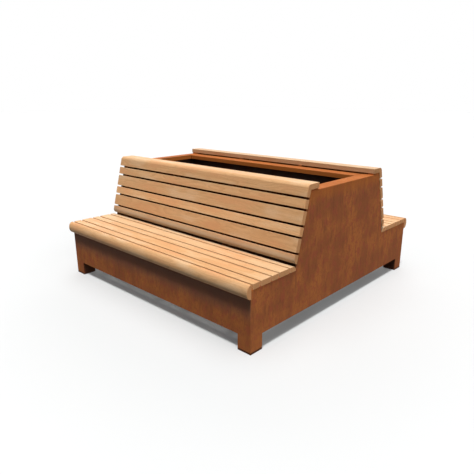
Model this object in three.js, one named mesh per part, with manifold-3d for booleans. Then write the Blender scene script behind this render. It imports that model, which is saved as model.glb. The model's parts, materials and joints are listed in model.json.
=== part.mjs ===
// Double-sided park bench built round a long planter.
// A weathering-steel carcass of two end plates, two aprons, four boxed corner feet and two
// planter walls carries hardwood boards: a seat and a leaning back at the front, and the same
// again at the rear. The planter between the two backs is open at the top and has a liner.
// Lengths are in millimetres. X runs along the boards, the front faces -Y and Z is up.

import * as THREE from 'three';
import { mergeGeometries, mergeVertices } from 'three/addons/utils/BufferGeometryUtils.js';
import Module from 'manifold-3d';

const wasm = await Module();
wasm.setup();

// Overall sizes of the carcass
const carcassLength = 2000;
const carcassDepth = 2000;
const sheet = 4;
const footWidth = 105;
const footHeight = 106;

// Hardwood boards and the seat
const seatHeight = 450;
const boardThickness = 35;
const narrowBoard = 58;
const wideBoard = 88;
const boardGap = 14;
const boardOverhang = 3;
const edgeRound = 2;
const bullRound = 30;
const nosingHeight = 90;
const nosingThickness = 38;
const browHeight = 47;
const browDepth = 31;
const bellyDepth = 35;

// Leaning back and its cap
const leanDegrees = 15.2;
const backBottomGap = 15.8;
const topBoardLeast = 60;
const capBoard = 78;
const capLift = 10;
const backClearance = 2.4;

// Slat frames, the welded ribs and mounting strips under the boards
const stripWidth = 40;
const stripThickness = 5;
const webThickness = 5;
const ribDepth = 60;
const endWebDepth = 40;
const ribPlaceShare = 0.33;

// Planter
const rimHeight = 900;
const rimWidth = 100;
const rimLip = 35;
const planterSetback = 3;
const linerThickness = 3;
const linerBelowRim = 8;
const bearerWidth = 60;
const bearerHeight = 40;
const bearerWall = 3;
const bearerRise = 24;
const bearerPlaceShares = [-0.75, 0, 0.75];
const drainPlaceShare = 0.5;
const drainBore = 16;
const drainWall = 4;
const drainFlange = 30;
const drainFlangeThickness = 3;
const drainDrop = 30;

// Corner feet
const legRise = 60;
const basePlate = 8;
const anchorHole = 9;

// Coach screws, driven from behind into the boards
const screwShank = 4;
const screwHead = 7.5;
const screwHeadHeight = 5.5;
const screwBiteShare = 0.7;
const topScrewShare = 0.3;
const midScrewShare = 0.5;

// Clearances
const fitGap = 0.3;
const overrun = 10;

// Fineness of round forms
const quarterTurnDegrees = 90;
const degreesPerFacet = 10;
const degreesPerEdgeFacet = 45;
const screwSides = 6;
const boreSides = 12;

// Levels and planes worked out from the sizes above. Inside one side of the bench, y is
// the distance behind the plane of its apron.
const lean = THREE.MathUtils.degToRad(leanDegrees);
const boardUnderside = seatHeight - boardThickness;
const steelSeatLevel = boardUnderside - fitGap;
const seatBoards = [narrowBoard, wideBoard, narrowBoard, wideBoard, narrowBoard];
const seatRearEdge = seatBoards.reduce((far, width) => far + boardGap + width, 0);
const capUnderside = rimHeight + capLift;
const timberTop = capUnderside + boardThickness;
const backTop = (timberTop - seatHeight) / Math.cos(lean);
const backBoards = boardsUpTo(backTop - backBottomGap);
const bigRound = Math.min(bullRound, boardThickness - edgeRound);
const steelSetback = boardThickness + stripThickness;
const backFace = seatRearEdge + backClearance
	+ boardThickness * Math.tan(lean) - steelSetback / Math.cos(lean);
const boardLength = carcassLength + 2 * boardOverhang;
const insideLength = carcassLength - 2 * (sheet + fitGap);
const insideDepth = carcassDepth - 2 * (sheet + fitGap);
const capInnerEdge = planeBehindBack(boardThickness, timberTop) + capBoard;
const planterWallFace = capInnerEdge + planterSetback;
const rimInnerEdge = planterWallFace + rimWidth;
const planterFloorLevel = footHeight + bearerRise + bearerHeight + fitGap;
const screwBite = boardThickness * screwBiteShare;
const endStation = insideLength / 2 - stripWidth / 2;
const ribStation = carcassLength / 2 * ribPlaceShare;

// Finishes
function finish(name, color, roughness, metalness) {
	return { name, color, roughness, metalness };
}

const hardwood = finish('hardwood', 0xcf9f6c, 0.6, 0);
const weatheringSteel = finish('weathering_steel', 0x8a4d2f, 0.85, 0.2);
const galvanisedSteel = finish('galvanised_steel', 0x9aa0a3, 0.5, 0.8);
const blackLiner = finish('black_liner', 0x14110f, 0.9, 0);
const blackPlastic = finish('black_plastic', 0x1b1b1b, 0.7, 0);

// A point on the leaning back: how far up the slope from seat height, and how far behind
// the front faces of the back boards.
function backPoint(upSlope, behind) {
	return [
		backFace + upSlope * Math.sin(lean) + behind * Math.cos(lean),
		seatHeight + upSlope * Math.cos(lean) - behind * Math.sin(lean),
	];
}

// Where a plane parallel to the leaning back crosses a level.
function planeBehindBack(behind, level) {
	return backFace + (level - seatHeight) * Math.tan(lean) + behind / Math.cos(lean);
}

// Widths of the back boards from the seat up: narrow and wide in turn, as many as fit, and a
// top board that takes what is left.
function boardsUpTo(rise) {
	const widths = [];
	let left = rise;
	let next = narrowBoard;
	while (left - next - boardGap >= topBoardLeast) {
		widths.push(next);
		left -= next + boardGap;
		next = next === narrowBoard ? wideBoard : narrowBoard;
	}
	return [...widths, left];
}

// Outline with each corner [across, up, radius] rounded by short straight facets.
function rounded(corners) {
	const points = [];
	corners.forEach(([x, y, radius], index) => {
		const corner = new THREE.Vector2(x, y);
		if (!radius) {
			points.push(corner);
			return;
		}
		const [px, py] = corners[(index + corners.length - 1) % corners.length];
		const [nx, ny] = corners[(index + 1) % corners.length];
		const before = new THREE.Vector2(px, py).sub(corner).normalize();
		const after = new THREE.Vector2(nx, ny).sub(corner).normalize();
		const opening = Math.acos(before.dot(after));
		const turn = Math.PI - opening;
		const bisector = before.clone().add(after).normalize();
		const centre = corner.clone().addScaledVector(bisector, radius / Math.sin(opening / 2));
		const start = corner.clone().addScaledVector(before, radius / Math.tan(opening / 2));
		const swing = Math.sign(before.cross(after)) * -turn;
		const facet = radius > edgeRound ? degreesPerFacet : degreesPerEdgeFacet;
		const steps = Math.ceil(THREE.MathUtils.radToDeg(turn) / facet);
		for (let step = 0; step <= steps; step += 1) {
			points.push(start.clone().rotateAround(centre, swing * step / steps));
		}
	});
	return points;
}

// Solid of an outline in the (y, z) plane, between two places along X.
function slab(outline, fromX, toX) {
	const points = outline.map((point) => (point.isVector2 ? point : new THREE.Vector2(...point)));
	const shape = new THREE.Shape(points);
	const geometry = new THREE.ExtrudeGeometry(shape, { depth: toX - fromX, bevelEnabled: false });
	geometry.applyMatrix4(new THREE.Matrix4().makeBasis(
		new THREE.Vector3(0, 1, 0), new THREE.Vector3(0, 0, 1), new THREE.Vector3(1, 0, 0)));
	return geometry.translate(fromX, 0, 0);
}

// Box between two opposite corners.
function block([x0, y0, z0], [x1, y1, z1]) {
	return new THREE.BoxGeometry(x1 - x0, y1 - y0, z1 - z0)
		.translate((x0 + x1) / 2, (y0 + y1) / 2, (z0 + z1) / 2);
}

// Geometry with shared corners merged and collapsed faces dropped.
function welded(geometry) {
	const bare = geometry.clone();
	bare.deleteAttribute('normal');
	bare.deleteAttribute('uv');
	const merged = mergeVertices(bare);
	const kept = [];
	for (let i = 0; i < merged.index.count; i += 3) {
		const [a, b, c] = [merged.index.getX(i), merged.index.getX(i + 1), merged.index.getX(i + 2)];
		if (a !== b && b !== c && c !== a) kept.push(a, b, c);
	}
	merged.setIndex(kept);
	return merged;
}

function solid(geometry) {
	const merged = welded(geometry);
	return new wasm.Manifold(new wasm.Mesh({
		numProp: 3,
		vertProperties: new Float32Array(merged.attributes.position.array),
		triVerts: new Uint32Array(merged.index.array),
	}));
}

function fromSolid(body) {
	const mesh = body.getMesh();
	const geometry = new THREE.BufferGeometry();
	geometry.setAttribute('position', new THREE.BufferAttribute(mesh.vertProperties, 3));
	geometry.setIndex(new THREE.BufferAttribute(mesh.triVerts, 1));
	geometry.computeVertexNormals();
	return geometry;
}

// One solid from several that meet, less the tools that cut it.
function shaped(pieces, cutters = []) {
	const whole = pieces.map(solid).reduce((sum, piece) => sum.add(piece));
	if (!cutters.length) return fromSolid(whole);
	return fromSolid(whole.subtract(solid(mergeGeometries(cutters.map(plain)))));
}

// Position-only copy, so that solids of different origin can be merged.
function plain(geometry) {
	const bare = geometry.index ? geometry.toNonIndexed() : geometry.clone();
	bare.deleteAttribute('normal');
	bare.deleteAttribute('uv');
	return bare;
}

// Round solid turned about Z from [radius, height] steps, lowest first.
function turned(steps, sides) {
	const profile = steps.map(([radius, height]) => new THREE.Vector2(radius, height));
	return welded(new THREE.LatheGeometry(profile, sides)).rotateX(Math.PI / 2);
}

function mesh(name, geometry, { name: slot, ...look }) {
	const piece = new THREE.Mesh(geometry, new THREE.MeshStandardMaterial({ name: slot, ...look }));
	piece.name = name;
	return piece;
}

// Every coach screw of one side: where its axis meets the back of a board, which way it is
// driven, how much it clamps, and the steel it is joined to.
function fixings() {
	const list = [];
	const upward = [0, 0, 1];
	const outward = [0, -Math.cos(lean), Math.sin(lean)];
	const stations = [-endStation, -ribStation, ribStation, endStation];
	const seatGrip = stripThickness + fitGap;
	const nosingGrip = sheet + fitGap + stripThickness;
	const nosingLevel = (seatHeight - nosingHeight + steelSeatLevel) / 2;
	stations.forEach((x) => {
		const atEnd = Math.abs(x) > ribStation;
		const nosing = [x, 0, nosingLevel];
		list.push({ board: 'nosing', steel: 'frame', at: nosing, way: [0, -1, 0], grip: nosingGrip });
		seatPlaces().forEach(({ start, width }, index) => {
			const at = [x, start + width / 2, boardUnderside];
			const name = `seat_${index + 1}`;
			list.push({ board: name, steel: 'frame', at, way: upward, grip: seatGrip });
		});
		backPlaces().forEach(({ start, width }, index, places) => {
			const share = index === places.length - 1 ? topScrewShare : midScrewShare;
			const at = [x, ...backPoint(start + width * share, boardThickness)];
			const name = `back_${index + 1}`;
			list.push({ board: name, steel: 'frame', at, way: outward, grip: stripThickness });
		});
		const at = [x, capInnerEdge - capBoard / 2, capUnderside];
		const cap = { board: 'cap', at, way: upward };
		list.push(atEnd
			? { ...cap, steel: 'end_plate', grip: capLift + sheet }
			: { ...cap, steel: 'frame', grip: seatGrip });
	});
	return list;
}

// Seat boards from the nosing to the back, and back boards from the seat to the top.
function seatPlaces() {
	let start = 0;
	return seatBoards.map((width) => {
		start += boardGap;
		const place = { start, width };
		start += width;
		return place;
	});
}

function backPlaces() {
	let start = backBottomGap;
	return backBoards.map((width) => {
		const place = { start, width };
		start += width + boardGap;
		return place;
	});
}

// A round tool or screw along a fixing, from its [radius, depth] steps.
function alongFixing({ at, way }, steps) {
	const turn = new THREE.Quaternion().setFromUnitVectors(
		new THREE.Vector3(0, 0, 1), new THREE.Vector3(...way));
	return turned(steps, screwSides).applyQuaternion(turn).translate(...at);
}

function screwHole(fixing) {
	const radius = screwShank + fitGap / Math.cos(Math.PI / screwSides);
	const mouth = -(fixing.grip + overrun);
	const end = screwBite + fitGap;
	return alongFixing(fixing, [[0, mouth], [radius, mouth], [radius, end], [0, end]]);
}

// The head is let into the steel a little, so that the two are one body.
function screw(fixing) {
	const seat = fitGap - fixing.grip;
	return alongFixing(fixing, [
		[0, seat - screwHeadHeight], [screwHead, seat - screwHeadHeight], [screwHead, seat],
		[screwShank, seat], [screwShank, screwBite], [0, screwBite],
	]);
}

// The screws joined to one piece of steel.
function screwsIn(held, station) {
	return fixings().filter(({ steel, at }) => steel === held && at[0] === station).map(screw);
}

function holesFor(board) {
	return fixings().filter((fixing) => fixing.board === board).map(screwHole);
}

// A board from its outline in (y, z).
function board(outline, name, sideName) {
	const blank = slab(outline, -boardLength / 2, boardLength / 2);
	return mesh(`${sideName}_${name}_board`, shaped([blank], holesFor(name)), hardwood);
}

// Upright board in front of the first seat board: a quarter ellipse above its widest level,
// the brow, and another one below, the belly.
function nosingOutline() {
	const bottom = seatHeight - nosingHeight;
	const widest = seatHeight - browHeight;
	const front = -nosingThickness - fitGap;
	const facets = Math.round(quarterTurnDegrees / degreesPerFacet);
	const belly = new THREE.EllipseCurve(front + bellyDepth, widest, bellyDepth, widest - bottom,
		-Math.PI / 2, -Math.PI, true);
	const brow = new THREE.EllipseCurve(front + browDepth, widest, browDepth, browHeight,
		Math.PI, Math.PI / 2, true);
	return [
		[-fitGap, bottom], ...belly.getPoints(facets), ...brow.getPoints(facets).slice(1),
		[-fitGap - edgeRound, seatHeight], [-fitGap, seatHeight - edgeRound],
	];
}

function seatBoardSet(sideName) {
	const boards = [board(nosingOutline(), 'nosing', sideName)];
	seatPlaces().forEach(({ start, width }, index, places) => {
		const rear = index === places.length - 1 ? bigRound : edgeRound;
		const outline = rounded([
			[start, boardUnderside, edgeRound], [start, seatHeight, edgeRound],
			[start + width, seatHeight, rear], [start + width, boardUnderside, edgeRound],
		]);
		boards.push(board(outline, `seat_${index + 1}`, sideName));
	});
	return boards;
}

// Back boards lean: their corners are laid out on the slope and then stood up.
function onSlope(corners) {
	return rounded(corners.map(([upSlope, behind, radius]) => [...backPoint(upSlope, behind), radius]));
}

function backBoardSet(sideName) {
	return backPlaces().map(({ start, width }, index, places) => {
		const front = index === 0 ? bigRound : edgeRound;
		const end = start + width;
		let corners = [
			[start, 0, front], [end, 0, edgeRound],
			[end, boardThickness, edgeRound], [start, boardThickness, edgeRound],
		];
		if (index === places.length - 1) {
			const levelEnd = end + boardThickness * Math.tan(lean);
			corners = [
				[start, 0, edgeRound], [end, 0, bigRound],
				[levelEnd, boardThickness, 0], [start, boardThickness, edgeRound],
			];
		}
		return board(onSlope(corners), `back_${index + 1}`, sideName);
	});
}

function capBoardPiece(sideName) {
	const front = (level) => planeBehindBack(boardThickness + fitGap, level);
	return board(rounded([
		[front(timberTop), timberTop, 0], [capInnerEdge, timberTop, edgeRound],
		[capInnerEdge, capUnderside, edgeRound], [front(capUnderside), capUnderside, edgeRound],
	]), 'cap', sideName);
}

// Slat frame: an upright web with mounting strips welded along its edges. The inner ones
// are full gussets between apron and planter wall, the outer ones lie on the end plates.
function slatFrame(name, station, atEnd) {
	const way = Math.sign(station);
	const [near, far] = [station - way * stripWidth / 2, station + way * stripWidth / 2];
	const between = (outline, from, to) => slab(outline, Math.min(from, to), Math.max(from, to));
	const top = atEnd ? rimHeight - sheet - fitGap : capUnderside - fitGap;
	const foot = steelSeatLevel - (atEnd ? endWebDepth : ribDepth);
	const slope = (level) => planeBehindBack(steelSetback - stripThickness / 2, level);
	const apronSide = sheet + fitGap;
	const wallSide = planterWallFace - fitGap;
	const seatStripEnd = planeBehindBack(steelSetback, steelSeatLevel - stripThickness);
	const seatStrip = [
		[apronSide, steelSeatLevel], [seatStripEnd, steelSeatLevel],
		[seatStripEnd, steelSeatLevel - stripThickness],
		[apronSide, steelSeatLevel - stripThickness],
	];
	const apronTab = [
		[apronSide, foot], [apronSide + stripThickness, foot],
		[apronSide + stripThickness, steelSeatLevel], [apronSide, steelSeatLevel],
	];
	const stripEnd = backTop - bigRound;
	const backStrip = [
		backPoint(backBottomGap, boardThickness + fitGap), backPoint(stripEnd, boardThickness + fitGap),
		backPoint(stripEnd, steelSetback), backPoint(backBottomGap, steelSetback),
	];
	const innerSide = atEnd
		? [[slope(top) + endWebDepth, top], [slope(foot) + endWebDepth, foot]]
		: [[wallSide, top], [wallSide, foot]];
	const web = [
		[apronSide, foot], [apronSide, steelSeatLevel], [slope(steelSeatLevel), steelSeatLevel],
		[slope(top), top], ...innerSide,
	];
	const pieces = [
		between(web, far - way * webThickness, far),
		between(apronTab, near, far),
		between(seatStrip, near, far),
		between(backStrip, near, far),
	];
	if (!atEnd) {
		const capStripStart = planeBehindBack(steelSetback, capUnderside);
		pieces.push(between([
			[capStripStart, top], [capStripStart, top - stripThickness],
			[wallSide, top - stripThickness], [wallSide, top],
		], near, far));
	}
	return mesh(name, shaped([...pieces, ...screwsIn('frame', station)]), weatheringSteel);
}

// Upright sheet under the nosing, with a foot at each end.
function apron(sideName) {
	const half = insideLength / 2;
	const footInner = carcassLength / 2 - footWidth;
	const outline = [
		[-half, 0], [-footInner, 0], [-footInner, footHeight], [footInner, footHeight],
		[footInner, 0], [half, 0], [half, steelSeatLevel], [-half, steelSeatLevel],
	];
	const geometry = new THREE.ExtrudeGeometry(
		new THREE.Shape(outline.map((point) => new THREE.Vector2(...point))),
		{ depth: sheet, bevelEnabled: false });
	geometry.rotateX(Math.PI / 2).translate(0, sheet, 0);
	return mesh(`${sideName}_apron`, shaped([geometry], holesFor('nosing')), weatheringSteel);
}

// The two inner walls and the base plate that box a corner foot in.
function cornerLeg(name, way) {
	const outer = insideLength / 2;
	const inner = carcassLength / 2 - footWidth;
	const near = sheet + fitGap;
	const top = footHeight + legRise;
	const atX = (x0, y0, z0, x1, y1, z1) => block(
		[Math.min(way * x0, way * x1), y0, z0], [Math.max(way * x0, way * x1), y1, z1]);
	const acrossWall = atX(inner, near, 0, inner + sheet, footWidth, top);
	const alongWall = atX(inner, footWidth - sheet, 0, outer, footWidth, top);
	const plate = atX(inner, near, 0, outer, footWidth, basePlate);
	const anchor = turned([[0, -overrun], [anchorHole, -overrun],
		[anchorHole, basePlate + overrun], [0, basePlate + overrun]], boreSides)
		.translate(way * (inner + footWidth / 2), footWidth / 2, 0);
	return mesh(name, shaped([acrossWall, alongWall, plate], [anchor]), weatheringSteel);
}

// Long planter wall folded inward at the top into the rim and its turned-down lip.
function planterWall(sideName) {
	const rimHalf = carcassLength / 2 - rimWidth - fitGap;
	const underEndRim = rimHeight - sheet - fitGap;
	const folded = [
		[planterWallFace, planterFloorLevel], [planterWallFace, rimHeight], [rimInnerEdge, rimHeight],
		[rimInnerEdge, rimHeight - rimLip], [rimInnerEdge - sheet, rimHeight - rimLip],
		[rimInnerEdge - sheet, rimHeight - sheet], [planterWallFace + sheet, rimHeight - sheet],
		[planterWallFace + sheet, planterFloorLevel],
	];
	const wall = block([-insideLength / 2, planterWallFace, planterFloorLevel],
		[insideLength / 2, planterWallFace + sheet, underEndRim]);
	const geometry = shaped([slab(folded, -rimHalf, rimHalf), wall]);
	return mesh(`planter_wall_${sideName}`, geometry, weatheringSteel);
}

// Block that holds the cap off the rim at one end.
function capSpacer(name, station) {
	const halfWidth = stripWidth / 2;
	const start = planeBehindBack(steelSetback, capUnderside) + fitGap;
	const pad = block([station - halfWidth, start, rimHeight + fitGap],
		[station + halfWidth, capInnerEdge - edgeRound, capUnderside - fitGap]);
	return mesh(name, shaped([pad], holesFor('cap')), weatheringSteel);
}

// Everything on one side of the planter. The rear is the front turned half round.
function benchSide(sideName, rear) {
	const side = new THREE.Group();
	const hand = (way) => (way * (rear ? -1 : 1) < 0 ? 'left' : 'right');
	side.add(...seatBoardSet(sideName), ...backBoardSet(sideName), capBoardPiece(sideName));
	side.add(apron(sideName), planterWall(sideName));
	[-1, 1].forEach((way) => {
		side.add(slatFrame(`${sideName}_rib_${hand(way)}`, way * ribStation, false));
		side.add(slatFrame(`${sideName}_end_frame_${hand(way)}`, way * endStation, true));
		side.add(capSpacer(`${sideName}_cap_spacer_${hand(way)}`, way * endStation));
		side.add(cornerLeg(`corner_leg_${sideName}_${hand(way)}`, way));
	});
	const turnedSide = new THREE.Group();
	side.position.y = -carcassDepth / 2;
	turnedSide.add(side);
	turnedSide.rotation.z = rear ? Math.PI : 0;
	return turnedSide;
}

// End plate: seat and back profile, two feet, and the rim folded inward along the top.
function endPlate(name, way) {
	const halfDepth = carcassDepth / 2;
	const frontHalf = [
		[-halfDepth, 0], [-halfDepth, steelSeatLevel],
		[planeBehindBack(steelSetback, steelSeatLevel) - halfDepth, steelSeatLevel],
		[planeBehindBack(steelSetback, rimHeight) - halfDepth, rimHeight],
	];
	const rearHalf = frontHalf.map(([y, z]) => [-y, z]).toReversed();
	const footEdge = halfDepth - footWidth;
	const outline = [
		...frontHalf, ...rearHalf,
		[footEdge, 0], [footEdge, footHeight], [-footEdge, footHeight], [-footEdge, 0],
	];
	const outer = carcassLength / 2;
	const inner = outer - rimWidth;
	const rimEnd = halfDepth - planeBehindBack(steelSetback, rimHeight);
	const lipEnd = halfDepth - rimInnerEdge - fitGap;
	const pieces = [
		slab(outline, outer - sheet, outer),
		block([inner, -rimEnd, rimHeight - sheet], [outer, rimEnd, rimHeight]),
		block([inner, -lipEnd, rimHeight - rimLip], [inner + sheet, lipEnd, rimHeight]),
	];
	const shift = -halfDepth;
	const frontScrews = screwsIn('end_plate', endStation).map((part) => part.translate(0, shift, 0));
	const rearScrews = screwsIn('end_plate', -endStation)
		.map((part) => part.translate(0, shift, 0).rotateZ(Math.PI));
	const geometry = shaped([...pieces, ...frontScrews, ...rearScrews]);
	const plate = mesh(name, geometry, weatheringSteel);
	plate.rotation.z = way < 0 ? Math.PI : 0;
	return plate;
}

// Drain places along the planter, in its own middle line.
function drainPlaces() {
	return [-1, 1].map((way) => way * drainPlaceShare * carcassLength / 2);
}

function drainHoles() {
	const radius = drainBore + drainWall + fitGap;
	const low = planterFloorLevel - overrun;
	const high = planterFloorLevel + sheet + linerThickness + overrun;
	return drainPlaces().map((x) => turned([[0, low], [radius, low], [radius, high], [0, high]],
		boreSides).translate(x, 0, 0));
}

function planterFloor() {
	const halfWidth = carcassDepth / 2 - planterWallFace - sheet - fitGap;
	const plate = block([-insideLength / 2, -halfWidth, planterFloorLevel],
		[insideLength / 2, halfWidth, planterFloorLevel + sheet]);
	return mesh('planter_floor', shaped([plate], drainHoles()), galvanisedSteel);
}

// Lining boards: one on the planter floor, and four that stand on it along the walls.
function planterLining() {
	const halfLength = insideLength / 2 - fitGap;
	const halfWidth = carcassDepth / 2 - planterWallFace - sheet - fitGap;
	const floor = planterFloorLevel + sheet + fitGap;
	const low = floor + linerThickness + fitGap;
	const top = rimHeight - sheet - linerBelowRim;
	const endHalf = halfWidth - linerThickness - fitGap;
	const base = block([-halfLength, -halfWidth, floor], [halfLength, halfWidth, floor + linerThickness]);
	const boards = [mesh('planter_liner_floor', shaped([base], drainHoles()), blackLiner)];
	[['front', -1], ['rear', 1]].forEach(([name, way]) => {
		const place = way * (halfWidth - linerThickness / 2);
		boards.push(mesh(`planter_liner_${name}`, block(
			[-halfLength, place - linerThickness / 2, low],
			[halfLength, place + linerThickness / 2, top]), blackLiner));
	});
	[['left', -1], ['right', 1]].forEach(([name, way]) => {
		const place = way * (halfLength - linerThickness / 2);
		boards.push(mesh(`planter_liner_${name}`, block(
			[place - linerThickness / 2, -endHalf, low],
			[place + linerThickness / 2, endHalf, top]), blackLiner));
	});
	return boards;
}

function drainOutlet(name, place) {
	const wall = drainBore + drainWall;
	const seat = planterFloorLevel + sheet + linerThickness + 2 * fitGap;
	const low = planterFloorLevel - drainDrop;
	const profile = [
		[drainBore, low], [wall, low], [wall, seat], [drainFlange, seat],
		[drainFlange, seat + drainFlangeThickness], [drainBore, seat + drainFlangeThickness],
		[drainBore, low],
	];
	return mesh(name, turned(profile, boreSides).translate(place, 0, 0), blackPlastic);
}

// Square tube from apron to apron that carries the planter.
function floorBearer(name, place) {
	const low = footHeight + bearerRise;
	const half = bearerWidth / 2;
	const ring = (inset) => [
		[-half + inset, low + inset], [half - inset, low + inset],
		[half - inset, low + bearerHeight - inset], [-half + inset, low + bearerHeight - inset],
	].map((point) => new THREE.Vector2(...point));
	const section = new THREE.Shape(ring(0));
	section.holes.push(new THREE.Path(ring(bearerWall)));
	const geometry = new THREE.ExtrudeGeometry(section, { depth: insideDepth, bevelEnabled: false });
	geometry.rotateX(Math.PI / 2).translate(0, insideDepth / 2, 0);
	const bearer = mesh(name, geometry, galvanisedSteel);
	bearer.position.x = place;
	return bearer;
}

const bench = new THREE.Group();
bench.add(benchSide('front', false), benchSide('rear', true));
bench.add(endPlate('end_plate_left', -1), endPlate('end_plate_right', 1));
bench.add(planterFloor(), ...planterLining());
drainPlaces().forEach((place) => {
	bench.add(drainOutlet(`drain_outlet_${place < 0 ? 'left' : 'right'}`, place));
});
['left', 'middle', 'right'].forEach((name, index) => {
	bench.add(floorBearer(`floor_bearer_${name}`, bearerPlaceShares[index] * carcassLength / 2));
});

export default bench;
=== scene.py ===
"""Looks of a double-sided bench with a planter: hardwood boards on a weathering-steel carcass.

Laid out as a Blender add-on and run as a script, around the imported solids.
"""

import json
import math

import bmesh
import bpy
from bpy.props import FloatProperty, FloatVectorProperty, PointerProperty
from mathutils import Matrix, Vector


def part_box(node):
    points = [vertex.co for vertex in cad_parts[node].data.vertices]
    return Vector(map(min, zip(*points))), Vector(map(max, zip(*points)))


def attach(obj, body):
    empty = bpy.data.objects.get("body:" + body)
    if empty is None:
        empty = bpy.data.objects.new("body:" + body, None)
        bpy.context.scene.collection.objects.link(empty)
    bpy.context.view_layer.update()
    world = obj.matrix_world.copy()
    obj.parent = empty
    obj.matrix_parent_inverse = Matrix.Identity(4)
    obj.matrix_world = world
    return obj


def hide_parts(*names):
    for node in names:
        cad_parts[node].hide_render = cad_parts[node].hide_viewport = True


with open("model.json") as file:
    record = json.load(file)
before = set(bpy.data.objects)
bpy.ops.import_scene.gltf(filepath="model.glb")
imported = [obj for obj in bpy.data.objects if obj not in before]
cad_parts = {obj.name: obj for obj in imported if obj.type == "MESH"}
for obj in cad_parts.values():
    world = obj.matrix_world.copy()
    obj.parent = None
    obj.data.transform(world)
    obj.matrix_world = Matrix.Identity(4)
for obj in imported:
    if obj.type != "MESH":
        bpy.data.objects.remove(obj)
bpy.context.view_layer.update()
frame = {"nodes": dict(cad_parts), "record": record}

bl_info = {
    "name": "Bench with planter",
    "version": (1, 0, 0),
    "blender": (4, 5, 0),
    "location": "View3D > Sidebar > Bench",
    "description": "Dresses the solids of a double-sided bench with a planter",
    "category": "Object",
}

NODES = frame["nodes"]
BODY = "root"

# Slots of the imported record
HARDWOOD = "hardwood"
STEEL = "weathering_steel"
GALVANISED = "galvanised_steel"
LINER = "black_liner"
PLASTIC = "black_plastic"

SIDES = ("front", "rear")
SEAT_BOARDS = 5
HALF_TURN = Matrix.Rotation(math.pi, 4, "Z")

# Closeness within which two points count as one, length of the slivers that rounding leaves,
# and angle within which faces count as flat
SAME_PLACE = 1e-6
SLIVER = 2e-5
SAME_PLANE = math.radians(0.5)

# Share of a face that two meeting rounds take up, just short of all of it
NEARLY_WHOLE = 0.998

# Steel edges: squarer than this is an edge to ease, longer than this belongs to a sheet and
# not to a screw, and a face that reaches further than this isn't the thickness of a sheet
SQUARE = math.radians(70)
SHEET_EDGE = 0.02
BROAD_FACE = 0.015

# Segments of the rounds along the boards, at their ends, at the bull corners, over and under
# the nosing, along folds and cut edges of the steel, and steps of a turned piece
EDGE_SEGMENTS = 5
END_SEGMENTS = 2
BULL_SEGMENTS = 16
BROW_SEGMENTS = 14
BELLY_SEGMENTS = 18
FOLD_SEGMENTS = 6
CUT_SEGMENTS = 2
TURN_STEPS = 40

# Angle past which shading breaks at an edge, and how strongly a piece's broad faces keep
# their own normals, up to 100
CRISP = math.radians(50)
FLATNESS = 100

# Names of the data that the pieces carry for their materials
GRAIN_PLACE = "grain_place"
BOARD_TONE = "board_tone"
# Edge faces painted paler, partly as wear and partly as a highlight
WEAR_AND_HIGHLIGHT = "worn"
# Share of the shade painted into the crease of seat and back
CREASE_SHADE = "damp"

# Each board's warmth (straw -1, red 1) and lightness (-1 to 1), and where the heart of
# its tree lies from the middle of the board, across and below, in metres
BOARD_TONES = {
    "nosing": ((-0.05, 0.25), (0.012, 0.085)),
    "seat_1": ((0.2, 0.1), (-0.020, 0.060)),
    "seat_2": ((0.3, 0.1), (0.030, 0.095)),
    "seat_3": ((-0.45, 0.1), (0.008, 0.070)),
    "seat_4": ((-0.75, 0.05), (-0.036, 0.110)),
    "seat_5": ((-0.9, 0.2), (0.022, 0.065)),
    "back_1": ((-0.7, -0.4), (-0.010, 0.075)),
    "back_2": ((-0.1, -0.25), (0.028, 0.120)),
    "back_3": ((-0.25, 0.9), (-0.024, 0.058)),
    "back_4": ((-0.15, 0.2), (0.034, 0.100)),
    "back_5": ((0.0, 0.3), (0.006, 0.080)),
    "back_6": ((0.0, 0.05), (-0.030, 0.090)),
    "front_cap": ((-0.1, 0.1), (0.018, 0.070)),
    "rear_cap": ((-1.0, -1.0), (-0.014, 0.075)),
}

# How much lighter than the middle tone the lightest board is
TONE_RANGE = 0.2

# Shift of the grain along X from one board to the next, and how far the growth rings wander
# from round, in metres
GRAIN_STEP = 2.7
RING_WANDER = 0.034

# Heights in metres between which each zone of the rust, of the painted light and of the
# painted shade comes or goes
TOP_BEGINS = (0.80, 0.88)
LIP_BEGINS = (0.85, 0.87)
SPLASH_ENDS = (0.28, 0.02)
SEAT_SHADOW_BEGINS = (0.18, 0.34)
SEAT_SHADOW_ENDS = (0.46, 0.44)
BACK_BEGINS = (0.44, 0.46)
BACK_ENDS = (0.865, 0.855)
FEET_END = (0.13, 0.11)
LOWEST_BAND_ENDS = (0.018, 0.010)

# How many times lighter dust makes the lining, and scuffs make the plastic
DUSTED = 2.2
SCUFFED = 1.9

# Setting of a node that eases a value from one range to another
EASED = {"interpolation_type": "SMOOTHSTEP"}

# Spread of each lamp in degrees, and where it shines from
LAMPS = {
    "key": (10.5, (0.156, -0.283, 1.0)),
    "soft": (60.0, (0.0, 0.0, 1.0)),
    "fill": (50.0, (1.0, -0.1, 0.25)),
    "rear": (60.0, (-0.7, 0.9, 0.16)),
}
WHITE = (1.0, 1.0, 1.0)
SENSOR_WIDTH = 36.0

# Half the floor's width, the distances between which it fades into the backdrop, and how much
# brighter it is there
FLOOR_REACH = 40.0
FLOOR_FADE = (1.2, 2.6)
FLOOR_GLOW = 0.06


def linear(hex_colour):
    """The linear colour of an sRGB hex value."""
    channels = [int(hex_colour[i : i + 2], 16) / 255 for i in (1, 3, 5)]
    return [c / 12.92 if c <= 0.04045 else ((c + 0.055) / 1.055) ** 2.4 for c in channels]


def colour(name, description, hex_colour):
    """A colour property with an sRGB hex default."""
    return FloatVectorProperty(
        name=name,
        description=description,
        subtype="COLOR",
        size=3,
        min=0,
        max=1,
        default=linear(hex_colour),
    )


def length(name, description, metres):
    """A length property with a default in metres."""
    return FloatProperty(
        name=name, description=description, unit="LENGTH", min=0, default=metres
    )


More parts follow.
